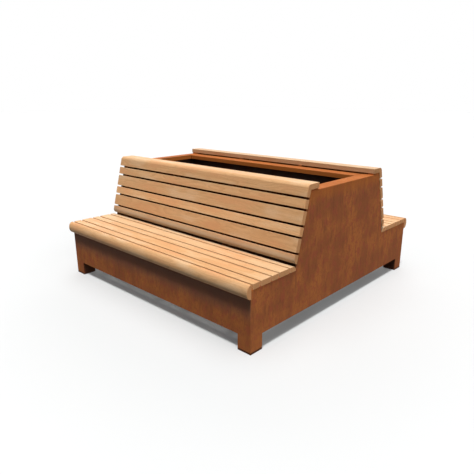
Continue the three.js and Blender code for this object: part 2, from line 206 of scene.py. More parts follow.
def angle(name, description, degrees):
    """An angle property with a default in degrees."""
    return FloatProperty(
        name=name, description=description, subtype="ANGLE", default=math.radians(degrees)
    )


def strength(name, description, value):
    """A property for the strength of a light, or for a share."""
    return FloatProperty(name=name, description=description, min=0, default=value)


class BoardSettings(bpy.types.PropertyGroup):
    """Sizes and colours of the hardwood boards."""

    lean: angle("Lean", "How far the backs lean from upright", 15.2)
    edge_round: length("Edge round", "Radius along the edges of each board", 0.002)
    end_round: length("End round", "Radius around the sawn ends", 0.001)
    bull_round: length("Bull round", "Radius of the edges that a sitter touches most", 0.030)
    brow_height: length("Brow height", "Nosing above its widest level", 0.047)
    brow_depth: length("Brow depth", "How far the brow curves back", 0.031)
    belly_depth: length("Belly depth", "How far the nosing curves back below", 0.035)
    ring_spacing: length("Ring spacing", "Width of a growth ring", 0.0045)
    pale: colour("Early wood", "The pale part of a growth ring", "#E5B582")
    deep: colour("Late wood", "The dark part of a growth ring", "#C99462")
    red: colour("Warm tone", "Colour of the warmest boards", "#DFA574")
    straw: colour("Straw tone", "Colour of the palest boards", "#E6C197")
    pores: colour("Pores", "Open pores of the planed faces", "#96683F")
    end_grain: colour("End grain", "Sawn ends, which drink more oil", "#E6A873")
    # Paler edges: partly wear, partly a painted highlight along the arrises
    worn: colour("Worn edge", "Edges that hands and weather have paled", "#EBC08C")
    # Painted shade in the crease of seat and back: its colour, its reach, and the height of its
    # darkest spot
    crease_shade_colour: colour("Greyed wood", "Wood in the damp crease of seat and back", "#AA9982")
    crease_shade_reach: length("Greyed reach", "How far damp greys the wood about the crease", 0.065)
    crease_shade_lift: length("Greyed lift", "Height of the dampest spot above the seat", 0.020)


class SteelSettings(bpy.types.PropertyGroup):
    """Sizes and colours of the weathering-steel carcass."""

    cut_round: length("Cut edge", "Radius along the cut edges of the sheet", 0.0008)
    fold_round: length("Fold", "Outer radius of the folded rim", 0.004)
    orange: colour("Young rust", "Fresh bright rust", "#C4763F")
    brown: colour("Patina", "Settled rust-brown patina", "#A26039")
    dark: colour("Old patina", "Dark patina of run-off streaks", "#844F35")
    red: colour("Red rust", "Redder patches", "#B05B3F")
    # Partly rain-washed rust, partly painted light on up-facing faces, the top and the lip
    washed_and_painted_light: colour("Washed rust", "Bright rust where rain falls on it", "#C06E2C")
    # Painted shadow of the seats on the upper aprons
    painted_seat_shadow: colour("Sheltered patina", "Dark dusty patina under the seats", "#8C6C5D")
    # Painted shade behind the back boards and inside the feet, also laid along the lowest band
    darkest_painted_shade: colour("Hollow patina", "Darkest patina, behind boards and inside feet", "#33201A")


class HiddenSettings(bpy.types.PropertyGroup):
    """Sizes and colours of the parts inside the carcass."""

    tube_wall: length("Tube wall", "Wall of the floor bearers", 0.003)
    drain_bore: length("Drain bore", "Inner radius of a drain outlet", 0.016)
    drain_wall: length("Drain wall", "Wall of a drain outlet", 0.004)
    drain_flange: length("Drain flange", "Thickness of a drain's flange", 0.003)
    drain_round: length("Drain round", "Radius along a drain's edges", 0.0008)
    zinc: colour("Zinc", "Dull hot-dip galvanising", "#A3A8AA")
    zinc_dark: colour("Zinc shade", "Darker crystals of the galvanising", "#868C8F")
    # Painted shade: the lining's near-black stands for the darkness inside the planter
    painted_shade_lining: colour("Lining", "Extruded black sheet, brown with earth dust", "#381D0A")
    plastic: colour("Plastic", "Moulded black plastic", "#202022")


class StageSettings(bpy.types.PropertyGroup):
    """Camera, lamps and floor."""

    lens: FloatProperty(
        name="Lens", description="Focal length on a 36 mm sensor", unit="CAMERA", default=35.144
    )
    place: FloatVectorProperty(
        name="Camera place",
        description="Where the camera stands",
        subtype="TRANSLATION",
        size=3,
        default=(2.5823, -2.8052, 1.4660),
    )
    turn: angle("Turn", "Turn of the camera about the upright", 43.1075)
    tilt: angle("Tilt", "How far the camera looks down", 17.045)
    roll: angle("Roll", "Roll of the camera", -0.1057)
    key: strength("Key lamp", "Strength of the main lamp from above", 2.45)
    soft: strength("Soft lamp", "Strength of the wide lamp overhead", 1.2)
    fill: strength("Fill lamp", "Strength of the low lamp from the right", 0.95)
    rear: strength("Rear lamp", "Strength of the low lamp behind the bench", 1.0)
    ambient: strength("Ambient", "Light from all round", 0.05)
    floor: colour("Floor", "Floor as the camera sees it", "#D5D6D6")
    floor_lift: strength("Shadow lift", "Least brightness of the floor's shadow", 0.09)
    floor_bounce: strength("Floor bounce", "Share of light that the floor gives back", 0.07)


class BenchSettings(bpy.types.PropertyGroup):
    """All settings of the bench."""

    boards: PointerProperty(type=BoardSettings)
    steel: PointerProperty(type=SteelSettings)
    hidden: PointerProperty(type=HiddenSettings)
    stage: PointerProperty(type=StageSettings)


# ---------------------------------------------------------------- materials


def add(tree, kind, inputs=None, **settings):
    """Adds a node with its settings and links. An input is a value, a socket, or a node that
    gives its first output."""
    node = tree.nodes.new("ShaderNode" + kind)
    for name, value in settings.items():
        setattr(node, name, value)
    for key, value in (inputs or {}).items():
        socket = node.inputs[key]
        if isinstance(value, bpy.types.Node):
            value = value.outputs[0]
        if isinstance(value, bpy.types.NodeSocket):
            tree.links.new(value, socket)
        elif socket.type == "RGBA":
            socket.default_value = (*value, 1.0)[:4]
        else:
            socket.default_value = value
    return node


def mottles(tree, place, *looks):
    """Smooth noise over a place, one for each look. A look is its features a metre along each
    axis, its detail and its roughness."""
    made = []
    for scale, detail, roughness in looks:
        spread = add(tree, "Mapping", {"Vector": place, "Scale": scale})
        inputs = {"Vector": spread, "Scale": 1.0, "Detail": detail, "Roughness": roughness}
        made.append(add(tree, "TexNoise", inputs))
    return made


def share_of(tree, most, *factors):
    """The most there is of something, times each factor. A factor is a share, or a value with
    the two levels between which it is eased from 0 to 1."""
    share = most
    for factor in factors:
        if isinstance(factor, tuple):
            value, start, end = factor
            factor = add(tree, "MapRange", {0: value, 1: start, 2: end}, **EASED)
        share = add(tree, "Math", {0: share, 1: factor}, operation="MULTIPLY")
    return share


def laid(tree, under, over, most, *factors):
    """A colour with another one laid over it, by the most there is of it times its factors."""
    share = share_of(tree, most, *factors)
    return add(tree, "Mix", {0: share, 6: under, 7: over}, data_type="RGBA").outputs[2]


def greatest(tree, value, *others):
    """The greatest of some values."""
    for other in others:
        value = add(tree, "Math", {0: value, 1: other}, operation="MAXIMUM")
    return value


def lighter(shade, times):
    """A colour made some times lighter."""
    return [min(1.0, channel * times) for channel in shade]


def new_material(name):
    """An empty material and its node tree."""
    material = bpy.data.materials.new(name)
    material.use_nodes = True
    material.node_tree.nodes.clear()
    return material, material.node_tree


def finish(tree, inputs, relief, depth, amount):
    """Gives the surface a shader with its inputs, and a relief from 0 to 1 over a depth."""
    bump = add(tree, "Bump", {"Height": relief, "Distance": depth, "Strength": amount})
    shader = add(tree, "BsdfPrincipled", {**inputs, "Normal": bump})
    add(tree, "OutputMaterial", {"Surface": shader})


def make_hardwood(boards):
    """Hardwood such as iroko, planed, with rounded edges, and oiled: a warm satin face with
    quiet growth rings, long streaks, short open pores, and darker thirsty ends. Shade is
    painted into the crease of seat and back, and the edges are painted paler, partly as wear
    and partly as a highlight."""
    material, tree = new_material("hardwood_planed_oiled")
    place = add(tree, "Attribute", attribute_name=GRAIN_PLACE).outputs["Vector"]
    tone = add(tree, "Attribute", attribute_name=BOARD_TONE).outputs["Vector"]
    warmth, lightness, _ = add(tree, "SeparateXYZ", {0: tone}).outputs
    worn = add(tree, "Attribute", attribute_name=WEAR_AND_HIGHLIGHT).outputs["Fac"]
    damp = add(tree, "Attribute", attribute_name=CREASE_SHADE).outputs["Fac"]
    wander, patch, streak, fibre, speck = mottles(
        tree,
        place,
        ((2.4, 9.0, 9.0), 2.0, 0.5),  # The rings wander over half a metre of trunk.
        ((3.0, 12.0, 12.0), 2.0, 0.5),  # Patches are a hand wide and a few long.
        ((1.1, 55.0, 55.0), 3.0, 0.55),  # Streaks are 15 mm wide and most of a metre long.
        ((9.0, 620.0, 620.0), 2.0, 0.6),  # Fibres are 1.5 mm wide.
        ((38.0, 950.0, 950.0), 1.0, 0.5),  # Pores are drawn 1 mm wide, so that they show.
    )
    pore = share_of(tree, 1.0, (speck, 0.62, 0.72))

    # The rings lie about the heart of the tree, and each grows darker until it ends.
    shift = add(
        tree,
        "VectorMath",
        {0: wander.outputs["Color"], 1: (0.5, 0.5, 0.5)},
        operation="SUBTRACT",
    )
    moved = add(
        tree,
        "VectorMath",
        {0: shift, 1: (0.0, RING_WANDER, RING_WANDER), 2: place},
        operation="MULTIPLY_ADD",
    )
    flat = add(tree, "VectorMath", {0: moved, 1: (0.0, 1.0, 1.0)}, operation="MULTIPLY")
    radius = add(tree, "VectorMath", {0: flat}, operation="LENGTH").outputs["Value"]
    rings = add(tree, "Math", {0: radius, 1: boards.ring_spacing}, operation="DIVIDE")
    ring = add(tree, "Math", {0: rings}, operation="FRACT")
    late = share_of(tree, 1.0, (ring, 0.25, 0.92), (ring, 1.0, 0.93))

    wood = laid(tree, boards.pale, boards.deep, 0.45, late)
    wood = laid(tree, wood, boards.deep, 0.45, (streak, 0.35, 0.75))
    # Each board has its own warmth and lightness, and warmer and paler patches.
    wood = laid(tree, wood, boards.red, 0.7, (warmth, 0.0, 1.0))
    wood = laid(tree, wood, boards.straw, 0.7, (warmth, 0.0, -1.0))
    wood = laid(tree, wood, boards.red, 0.8, (patch, 0.5, 0.68))
    wood = laid(tree, wood, boards.straw, 0.7, (patch, 0.5, 0.32))
    light = add(tree, "Math", {0: lightness, 1: TONE_RANGE, 2: 1.0}, operation="MULTIPLY_ADD")
    wood = add(tree, "VectorMath", {0: wood, "Scale": light}, operation="SCALE")
    wood = laid(tree, wood, boards.deep, 0.22, (fibre, 0.3, 0.7))
    wood = laid(tree, wood, boards.pores, 0.45, pore)
    # Painted shade: the crease of seat and back is painted greyer and darker,
    # more so along the streaks.
    damp = add(tree, "Math", {0: streak, 1: 0.2, 2: damp}, operation="MULTIPLY_ADD")
    wood = laid(tree, wood, boards.crease_shade_colour, 0.9, (damp, 0.1, 1.0))
    # Sawn ends face along X, and show the rings and pores more.
    along = add(tree, "SeparateXYZ", {0: add(tree, "TexCoord").outputs["Normal"]})
    along = add(tree, "Math", {0: along}, operation="ABSOLUTE")
    end = share_of(tree, 1.0, (along, 0.55, 0.9))
    sawn = add(tree, "VectorMath", {0: boards.end_grain, "Scale": light}, operation="SCALE")
    sawn = laid(tree, sawn, boards.pores, 0.5, late)
    sawn = laid(tree, sawn, boards.pores, 0.6, pore)
    wood = laid(tree, wood, sawn, 1.0, end)
    # Edges are painted paler, unevenly along the streaks: partly wear, partly a painted
    # highlight.
    pale_edge_share = add(tree, "MapRange", {0: streak, 1: 0.3, 2: 0.6, 3: 0.15, 4: 0.6}, **EASED)
    wood = laid(tree, wood, boards.worn, 1.0, worn, pale_edge_share)

    sheen = add(tree, "MapRange", {0: fibre, 1: 0.2, 2: 0.8, 3: 0.52, 4: 0.66}, **EASED)
    rough = add(tree, "Math", {0: end, 1: 0.2, 2: sheen}, operation="MULTIPLY_ADD")
    raised = share_of(tree, 0.35, late)
    relief = add(tree, "Math", {0: raised, 1: pore}, operation="SUBTRACT")
    inputs = {"Base Color": wood, "Roughness": rough, "Specular IOR Level": 0.25}
    finish(tree, inputs, relief, depth=0.0003, amount=0.5)
    return material


def make_weathering_steel(steel):
    """Weathering steel, cut and folded, rusted outdoors until the patina settles: a dry,
    matte brown crust of fine grains, in clouds and blotches, with faint darker runs. Shade
    under the seats, behind the back boards and inside the feet is painted into it, and light
    is painted onto the faces that look up."""
    material, tree = new_material("weathering_steel_patina")
    coordinates = add(tree, "TexCoord").outputs
    place, facing = coordinates["Object"], coordinates["Normal"]
    height = add(tree, "SeparateXYZ", {0: place}).outputs["Z"]
    _, facing_y, facing_z = add(tree, "SeparateXYZ", {0: facing}).outputs
    sideways = add(tree, "Math", {0: facing_y}, operation="ABSOLUTE")
    upright = share_of(tree, 1.0, (sideways, 0.5, 0.9))
    outward = add(tree, "VectorMath", {0: facing, 1: place}, operation="DOT_PRODUCT")
    outward = outward.outputs["Value"]
    worn = add(tree, "Attribute", attribute_name=WEAR_AND_HIGHLIGHT).outputs["Fac"]
    clouds, runs, blotches, spots, crust = mottles(
        tree,
        place,
        ((5.0, 5.0, 3.5), 4.0, 0.6),  # Clouds are two hands wide.
        ((36.0, 36.0, 7.0), 4.0, 0.65),  # Runs are 25 mm wide and five times as long.
        ((25.0, 25.0, 16.0), 5.0, 0.65),  # Blotches are 40 mm across.
        ((80.0, 80.0, 50.0), 3.0, 0.6),  # Spots are 12 mm across.
        ((300.0, 300.0, 300.0), 3.0, 0.7),  # The crust is drawn at 3 mm, so that it shows.
    )

    rust = laid(tree, steel.brown, steel.orange, 1.0, (clouds, 0.38, 0.62))
    rust = laid(tree, rust, steel.red, 0.75, (blotches, 0.48, 0.62))
    rust = laid(tree, rust, steel.dark, 0.55, (runs, 0.5, 0.68))
    rust = laid(tree, rust, steel.dark, 0.5, (spots, 0.52, 0.68))
    # The top, the lip inside the rim and the faces that look up are painted young and bright,
    # partly as rust that rain keeps fresh and partly as painted light from above; splashes from
    # the ground brighten the lowest hand's breadth.
    up = share_of(tree, 0.6, (facing_z, 0.6, 0.95))
    top = share_of(tree, 0.5, (height, *TOP_BEGINS))
    lip = share_of(tree, 1.0, (outward, -0.1, -0.2), (height, *LIP_BEGINS))
    rust = laid(tree, rust, steel.washed_and_painted_light, 1.0, greatest(tree, up, top, lip))
    rust = laid(tree, rust, steel.orange, 0.5, (height, *SPLASH_ENDS), (clouds, 0.3, 0.6))
    # Painted shadow: upright faces under the seats are painted darker and greyer towards the
    # seat, for the shadow that the seats cast on the aprons.
    under = (height, *SEAT_SHADOW_BEGINS), (height, *SEAT_SHADOW_ENDS)
    rust = laid(tree, rust, steel.painted_seat_shadow, 0.85, upright, *under)
    # Painted shade: faces behind the back boards and the inner faces of the feet are painted
    # darkest, for the shade there. The lowest 10 to 18 mm of the steel are darkest too.
    behind = share_of(tree, 1.0, upright, (height, *BACK_BEGINS), (height, *BACK_ENDS))
    inside = share_of(tree, 1.0, (outward, -0.2, -0.5), (height, *FEET_END))
    lowest_band = share_of(tree, 1.0, (height, *LOWEST_BAND_ENDS))
    rust = laid(tree, rust, steel.darkest_painted_shade, 0.9, greatest(tree, behind, inside, lowest_band))
    rust = laid(tree, rust, steel.dark, 0.35, (crust, 0.35, 0.7))
    # Rain and boots keep the edges a little brighter.
    rust = laid(tree, rust, steel.orange, 0.45, worn)

    rough = add(tree, "MapRange", {0: crust, 1: 0.3, 2: 0.7, 3: 0.78, 4: 0.95}, **EASED)
    relief = add(tree, "Math", {0: blotches, 1: 0.6, 2: crust}, operation="MULTIPLY_ADD")
    inputs = {"Base Color": rust, "Roughness": rough, "Specular IOR Level": 0.15}
    finish(tree, inputs, relief, depth=0.0006, amount=0.5)
    return material


def make_galvanised(hidden):
    """Mild steel, hot-dip galvanised after welding: dull zinc with crystals about a
    centimetre across, each a little lighter or darker than the next."""
    material, tree = new_material("galvanised_steel_dipped")
    place = add(tree, "TexCoord").outputs["Object"]
    crystals = add(tree, "TexVoronoi", {"Vector": place, "Scale": 95.0}).outputs["Color"]
    crystal = add(tree, "SeparateColor", {0: crystals})
    # The bloom on the zinc lies in patches 70 mm across.
    (bloom,) = mottles(tree, place, ((14.0, 14.0, 14.0), 4.0, 0.6))
    bloomed = share_of(tree, 0.5, bloom)
    share = add(tree, "Math", {0: crystal, 1: 0.6, 2: bloomed}, operation="MULTIPLY_ADD")
    zinc = laid(tree, hidden.zinc_dark, hidden.zinc, 1.0, share)
    rough = add(tree, "MapRange", {0: share, 1: 0.1, 2: 0.9, 3: 0.38, 4: 0.6}, **EASED)
    inputs = {"Base Color": zinc, "Roughness": rough, "Metallic": 1.0}
    finish(tree, inputs, bloom, depth=0.0004, amount=0.3)
    return material


def make_lining_as_shade(hidden):
    """Polyethylene sheet, extruded and welded: near black, matte, with faint lines from the
    die and a little earth dust. Its near-black is painted shade, standing for the darkness
    inside the planter."""
    material, tree = new_material("polyethylene_sheet_extruded")
    place = add(tree, "TexCoord").outputs["Object"]
    dust, lines = mottles(
        tree,
        place,
        ((9.0, 9.0, 9.0), 4.0, 0.6),  # Dust lies in patches a hand wide.
        ((1.0, 1.0, 160.0), 2.0, 0.5),  # The die's lines are 6 mm wide.
    )
    dusty = lighter(hidden.painted_shade_lining, DUSTED)
    black = laid(tree, hidden.painted_shade_lining, dusty, 1.0, (dust, 0.45, 0.75))
    rough = add(tree, "MapRange", {0: dust, 1: 0.3, 2: 0.7, 3: 0.6, 4: 0.85}, **EASED)
    finish(tree, {"Base Color": black, "Roughness": rough}, lines, depth=0.0004, amount=0.3)
    return material


def make_plastic(hidden):
    """Polypropylene, moulded with a fine spark texture: black and matte."""
    material, tree = new_material("polypropylene_moulded")
    place = add(tree, "TexCoord").outputs["Object"]
    grain, scuff = mottles(
        tree,
        place,
        ((900.0, 900.0, 900.0), 2.0, 0.5),  # The spark texture is drawn at 1 mm, to show.
        ((60.0, 60.0, 60.0), 3.0, 0.5),  # Scuffs are 15 mm across.
    )
    scuffed = lighter(hidden.plastic, SCUFFED)
    black = laid(tree, hidden.plastic, scuffed, 1.0, (scuff, 0.45, 0.75))
    rough = add(tree, "MapRange", {0: grain, 1: 0.3, 2: 0.7, 3: 0.5, 4: 0.65}, **EASED)
    finish(tree, {"Base Color": black, "Roughness": rough}, grain, depth=0.0002, amount=0.3)
    return material


MAKERS = {
    HARDWOOD: ("boards", make_hardwood),
    STEEL: ("steel", make_weathering_steel),
    GALVANISED: ("hidden", make_galvanised),
    LINER: ("hidden", make_lining_as_shade),
    PLASTIC: ("hidden", make_plastic),
}
made_materials = {}


def material_for(context, slot):
    """The material of a slot, made once."""
    if slot not in made_materials:
        group, maker = MAKERS[slot]
        made_materials[slot] = maker(getattr(context.scene.bench, group))
    return made_materials[slot]


# ---------------------------------------------------------------- shapes


def reach(node, axis):
    """Lowest and highest place of a CAD node's corners along an axis."""
    places = [v.co.dot(axis) for v in NODES[node].data.vertices]
    return min(places), max(places)


def prism(corners, x_from, x_to):
    """Closed prism along X over (y, z) corners."""
    bm = bmesh.new()
    face = bm.faces.new([bm.verts.new((x_from, y, z)) for y, z in corners])
    grown = bmesh.ops.extrude_face_region(bm, geom=[face])
    moved = [part for part in grown["geom"] if isinstance(part, bmesh.types.BMVert)]
    bmesh.ops.translate(bm, verts=moved, vec=(x_to - x_from, 0, 0))
    bmesh.ops.recalc_face_normals(bm, faces=bm.faces)
    return bm


def bevel(bm, edges, radius, segments):
    """Rounds edges and gives back the new faces."""
    made = bmesh.ops.bevel(
        bm,
        geom=edges,
        offset=radius,
        offset_type="OFFSET",
        segments=segments,
        profile=0.5,
        affect="EDGES",
        clamp_overlap=False,
        material=-1,
    )
    return made["faces"]


def edge_along(bm, corner):
    """The edge along X through a (y, z) corner."""
    spot = Vector(corner)
    return [e for e in bm.edges if all((v.co.yz - spot).length < SAME_PLACE for v in e.verts)]


def bevel_ellipse(bm, corner, depth, height, segments):
    """Rounds a square corner to a quarter ellipse, which is a circle on a flattened board."""
    level = corner[1]
    flatten = Matrix.Translation((0, 0, level)) @ Matrix.Diagonal((1, 1, depth / height, 1))
    flatten = flatten @ Matrix.Translation((0, 0, -level))
    bmesh.ops.transform(bm, matrix=flatten, verts=bm.verts)
    bevel(bm, edge_along(bm, corner), depth * NEARLY_WHOLE, segments)
    bmesh.ops.transform(bm, matrix=flatten.inverted(), verts=bm.verts)


def end_edges(bm, x_from, x_to):
    """The edges around both ends of a prism."""
    return [
        e
        for e in bm.edges
        if any(all(abs(v.co.x - x) < SAME_PLACE for v in e.verts) for x in (x_from, x_to))
    ]


def finished(bm, name, slot, context, nodes):
    """Turns a bmesh into a piece that stands for CAD nodes."""
    bmesh.ops.recalc_face_normals(bm, faces=bm.faces)
    mesh = bpy.data.meshes.new(name)
    for face in bm.faces:
        face.smooth = True
    for edge in bm.edges:
        edge.smooth = edge.calc_face_angle() < CRISP
    bm.to_mesh(mesh)
    bm.free()
    mesh.materials.append(material_for(context, slot))
    piece = bpy.data.objects.new(name, mesh)
    context.scene.collection.objects.link(piece)
    # Flat faces stay flat beside their rounded edges.
    weighted = piece.modifiers.new("flat_faces", "WEIGHTED_NORMAL")
    weighted.weight = FLATNESS
    weighted.keep_sharp = True
    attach(piece, BODY)
    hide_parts(*nodes)


def lay_grain(bm, tone, order, axes, boards):
    """Gives each corner its place in the tree and its share of the painted crease shade,
    and the board its tone.
    """
    across, through = axes
    (warmth, lightness), (heart_across, heart_below) = BOARD_TONES[tone]
    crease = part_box("front_seat_5_board")[1].yz + Vector((0, boards.crease_shade_lift))
    middles = []
    for axis in axes:
        places = [v.co.dot(axis) for v in bm.verts]
        middles.append((min(places) + max(places)) / 2)
    place_layer = bm.verts.layers.float_vector.new(GRAIN_PLACE)
    tone_layer = bm.verts.layers.float_vector.new(BOARD_TONE)
    crease_shade_layer = bm.verts.layers.float.new(CREASE_SHADE)
    for vert in bm.verts:
        vert[place_layer] = (
            vert.co.x + order * GRAIN_STEP,
            vert.co.dot(across) - middles[0] - heart_across,
            vert.co.dot(through) - middles[1] + heart_below,
        )
        vert[tone_layer] = (warmth, lightness, 0.0)
        # Painted shade, strongest at the crease and gone at its reach
        vert[crease_shade_layer] = max(0.0, 1.0 - (vert.co.yz - crease).length / boards.crease_shade_reach)


def mark_wear_and_highlight(faces, layer):
    """Marks faces that are painted paler, partly as wear and partly as a highlight."""
    for face in faces:
        if face.is_valid:
            face[layer] = 1.0


def board_body(node, corners, boards):
    """A board from (y, z, radius) corners, with its sawn ends eased."""
    lowest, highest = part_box(node)
    bm = prism([corner[:2] for corner in corners], lowest.x, highest.x)
    layer = bm.faces.layers.float.new(WEAR_AND_HIGHLIGHT)
    for y, z, radius in corners:
        if radius:
            small = radius <= boards.edge_round
            segments = EDGE_SEGMENTS if small else BULL_SEGMENTS
            made = bevel(bm, edge_along(bm, (y, z)), radius, segments)
            if small:
                mark_wear_and_highlight(made, layer)
    bevel(bm, end_edges(bm, lowest.x, highest.x), boards.end_round, END_SEGMENTS)
    return bm


def nosing_body(node, boards):
    """The upright board: a brow and a belly that are quarters of two ellipses."""
    lowest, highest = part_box(node)
    front, rear = lowest.y, highest.y
    bottom, top = lowest.z, highest.z
    bm = prism([(rear, bottom), (front, bottom), (front, top), (rear, top)], lowest.x, highest.x)
    layer = bm.faces.layers.float.new(WEAR_AND_HIGHLIGHT)
    fall = top - bottom - boards.brow_height
    bevel_ellipse(bm, (front, bottom), boards.belly_depth, fall, BELLY_SEGMENTS)
    bevel_ellipse(bm, (front, top), boards.brow_depth, boards.brow_height, BROW_SEGMENTS)
    made = bevel(bm, edge_along(bm, (rear, top)), boards.edge_round, EDGE_SEGMENTS)
    mark_wear_and_highlight(made, layer)
    # The sliver that is left between brow and belly closes.
    bmesh.ops.remove_doubles(bm, verts=bm.verts, dist=(1 - NEARLY_WHOLE) * fall * 2)
    bevel(bm, end_edges(bm, lowest.x, highest.x), boards.end_round, END_SEGMENTS)
    return bm


def place_board(context, bm, side, kind, order, axes):
    """Lays the grain, turns a rear board half round, and finishes the piece."""
    tone = f"{side}_{kind}" if kind == "cap" else kind
    lay_grain(bm, tone, order, axes, context.scene.bench.boards)
    if side == "rear":
        bmesh.ops.transform(bm, matrix=HALF_TURN, verts=bm.verts)
    node = f"{side}_{kind}_board"
    finished(bm, f"{side}_{kind}_timber", HARDWOOD, context, [node])


def level_corners(node, boards, rear_top):
    """Corners of a level board, its rear top edge rounded as asked."""
    low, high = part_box(node)
    small = boards.edge_round
    return [
        (low.y, low.z, small),
        (low.y, high.z, small),
        (high.y, high.z, rear_top),
        (high.y, low.z, small),
    ]


def slope_axes(boards):
    """Directions up the leaning back and square to it, towards the planter."""
    sine, cosine = math.sin(boards.lean), math.cos(boards.lean)
    return Vector((0, sine, cosine)), Vector((0, cosine, -sine))


def slope_corner(axes, up, behind):
    """The (y, z) point that lies up the slope and behind its foot."""
    point = axes[0] * up + axes[1] * behind
    return point.y, point.z


def slope_at_level(boards, behind, level):
    """The (y, z) point where a plane parallel to the back meets a level."""
    return (behind + level * math.sin(boards.lean)) / math.cos(boards.lean), level


def blunt_offset(radius, boards):
    """How far a radius reaches along the faces of the blunt corner at the top of the back."""
    opening = math.pi / 2 + boards.lean
    return radius / math.tan(opening / 2)


def back_corners(node, boards, axes, place):
    """Corners of a leaning board. Place is lowest, middle or top."""
    low, high = reach(node, axes[0])
    front, rear = reach(node, axes[1])
    small = boards.edge_round
    if place == "top":
        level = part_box(node)[1].z
        return [
            (*slope_corner(axes, low, front), small),
            (*slope_at_level(boards, front, level), blunt_offset(boards.bull_round, boards)),
            (*slope_at_level(boards, rear, level), 0.0),
            (*slope_corner(axes, low, rear), small),
        ]
    return [
        (*slope_corner(axes, low, front), boards.bull_round if place == "lowest" else small),
        (*slope_corner(axes, high, front), small),
        (*slope_corner(axes, high, rear), small),
        (*slope_corner(axes, low, rear), small),
    ]


def cap_corners(node, boards, axes):
    """Corners of the cap, whose front edge leans with the back."""
    low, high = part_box(node)
    front = reach(node, axes[1])[0]
    small = boards.edge_round
    return [
        (*slope_at_level(boards, front, high.z), 0.0),
        (high.y, high.z, small),
        (high.y, low.z, small),
        (*slope_at_level(boards, front, low.z), small),
    ]


def is_corner(edge):
    """Whether an edge stands out and is about square."""
    return edge.is_convex and edge.calc_face_angle() > SQUARE


def is_fold(edge):
    """Whether an edge lies between two broad faces of a sheet."""
    least = edge.calc_length() * BROAD_FACE
    return is_corner(edge) and all(face.calc_area() > least for face in edge.link_faces)


def eased_copy(node, steel):
    """A CAD sheet with its folds rounded and its cut edges eased."""
    bm = bmesh.new()
    bm.from_mesh(NODES[node].data)
    bmesh.ops.remove_doubles(bm, verts=bm.verts, dist=SAME_PLACE)
    bmesh.ops.dissolve_limit(bm, angle_limit=SAME_PLANE, verts=bm.verts, edges=bm.edges)
    layer = bm.faces.layers.float.new(WEAR_AND_HIGHLIGHT)
    folds = [e for e in bm.edges if e.calc_length() > SHEET_EDGE and is_fold(e)]
    folded = set(bevel(bm, folds, steel.fold_round, FOLD_SEGMENTS)) if folds else set()
    cuts = [
        e
        for e in bm.edges
        if is_corner(e) and (e.calc_length() > SHEET_EDGE or folded & set(e.link_faces))
    ]
    mark_wear_and_highlight(bevel(bm, cuts, steel.cut_round, CUT_SEGMENTS), layer)
    bmesh.ops.dissolve_degenerate(bm, dist=SLIVER, edges=bm.edges)
    return bm


def tube_body(node, bench):
    """A square tube along Y with rounded corners, cut square and open right through."""
    low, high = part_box(node)
    section = [(low.x, low.z), (high.x, low.z), (high.x, high.z), (low.x, high.z)]
    bm = prism(section, low.y, high.y)
    for corner in section:
        bevel(bm, edge_along(bm, corner), bench.steel.fold_round, FOLD_SEGMENTS)
    # Only the two ends have more corners than four.
    ends = [f for f in bm.faces if len(f.verts) > 4]
    bmesh.ops.inset_region(bm, faces=ends, thickness=bench.hidden.tube_wall, use_even_offset=True)
    mouths = [edge for face in ends for edge in face.edges]
    bmesh.ops.delete(bm, geom=ends, context="FACES_ONLY")
    bmesh.ops.bridge_loops(bm, edges=mouths)
    bmesh.ops.recalc_face_normals(bm, faces=bm.faces)
    cuts = [e for e in end_edges(bm, low.y, high.y) if is_corner(e)]
    bevel(bm, cuts, bench.steel.cut_round, CUT_SEGMENTS)
    # The prism lies along X, and the tube along Y.
    swap = Matrix(((0, 1, 0, 0), (1, 0, 0, 0), (0, 0, 1, 0), (0, 0, 0, 1)))
    bmesh.ops.transform(bm, matrix=swap, verts=bm.verts)
    return bm


def drain_body(node, hidden):
    """A drain outlet: a tube with a flange, turned from its profile."""
    low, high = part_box(node)
    middle = (low + high) / 2
    flange = (high.x - low.x) / 2
    wall = hidden.drain_bore + hidden.drain_wall
    under = high.z - hidden.drain_flange
    profile = [
        (hidden.drain_bore, low.z),
        (wall, low.z),
        (wall, under),
        (flange, under),
        (flange, high.z),
        (hidden.drain_bore, high.z),
    ]
    bm = bmesh.new()
    corners = [bm.verts.new((middle.x + radius, middle.y, z)) for radius, z in profile]
    ring = [bm.edges.new(pair) for pair in zip(corners, corners[1:] + corners[:1])]
    bmesh.ops.spin(
        bm,
        geom=corners + ring,
        cent=(middle.x, middle.y, 0),
        axis=(0, 0, 1),
        angle=2 * math.pi,
        steps=TURN_STEPS,
        use_merge=True,
        use_duplicate=False,
    )
    bmesh.ops.recalc_face_normals(bm, faces=bm.faces)
    bevel(bm, [e for e in bm.edges if is_corner(e)], hidden.drain_round, CUT_SEGMENTS)
    return bm


# ---------------------------------------------------------------- operators


class BENCH_OT_seat_boards(bpy.types.Operator):
    """Make the nosing and seat boards of both sides"""

    bl_idname = "bench.seat_boards"
    bl_label = "Seat boards"

    def execute(self, context):
        boards = context.scene.bench.boards
        level = Vector((0, 1, 0)), Vector((0, 0, 1))
        upright = Vector((0, 0, 1)), Vector((0, -1, 0))
        order = 0
        for side in SIDES:
            body = nosing_body("front_nosing_board", boards)
            place_board(context, body, side, "nosing", order, upright)
            order += 1
            for number in range(1, SEAT_BOARDS + 1):
                node = f"front_seat_{number}_board"
                rear_top = boards.bull_round if number == SEAT_BOARDS else boards.edge_round
                body = board_body(node, level_corners(node, boards, rear_top), boards)
                place_board(context, body, side, f"seat_{number}", order, level)
                order += 1
        return {"FINISHED"}


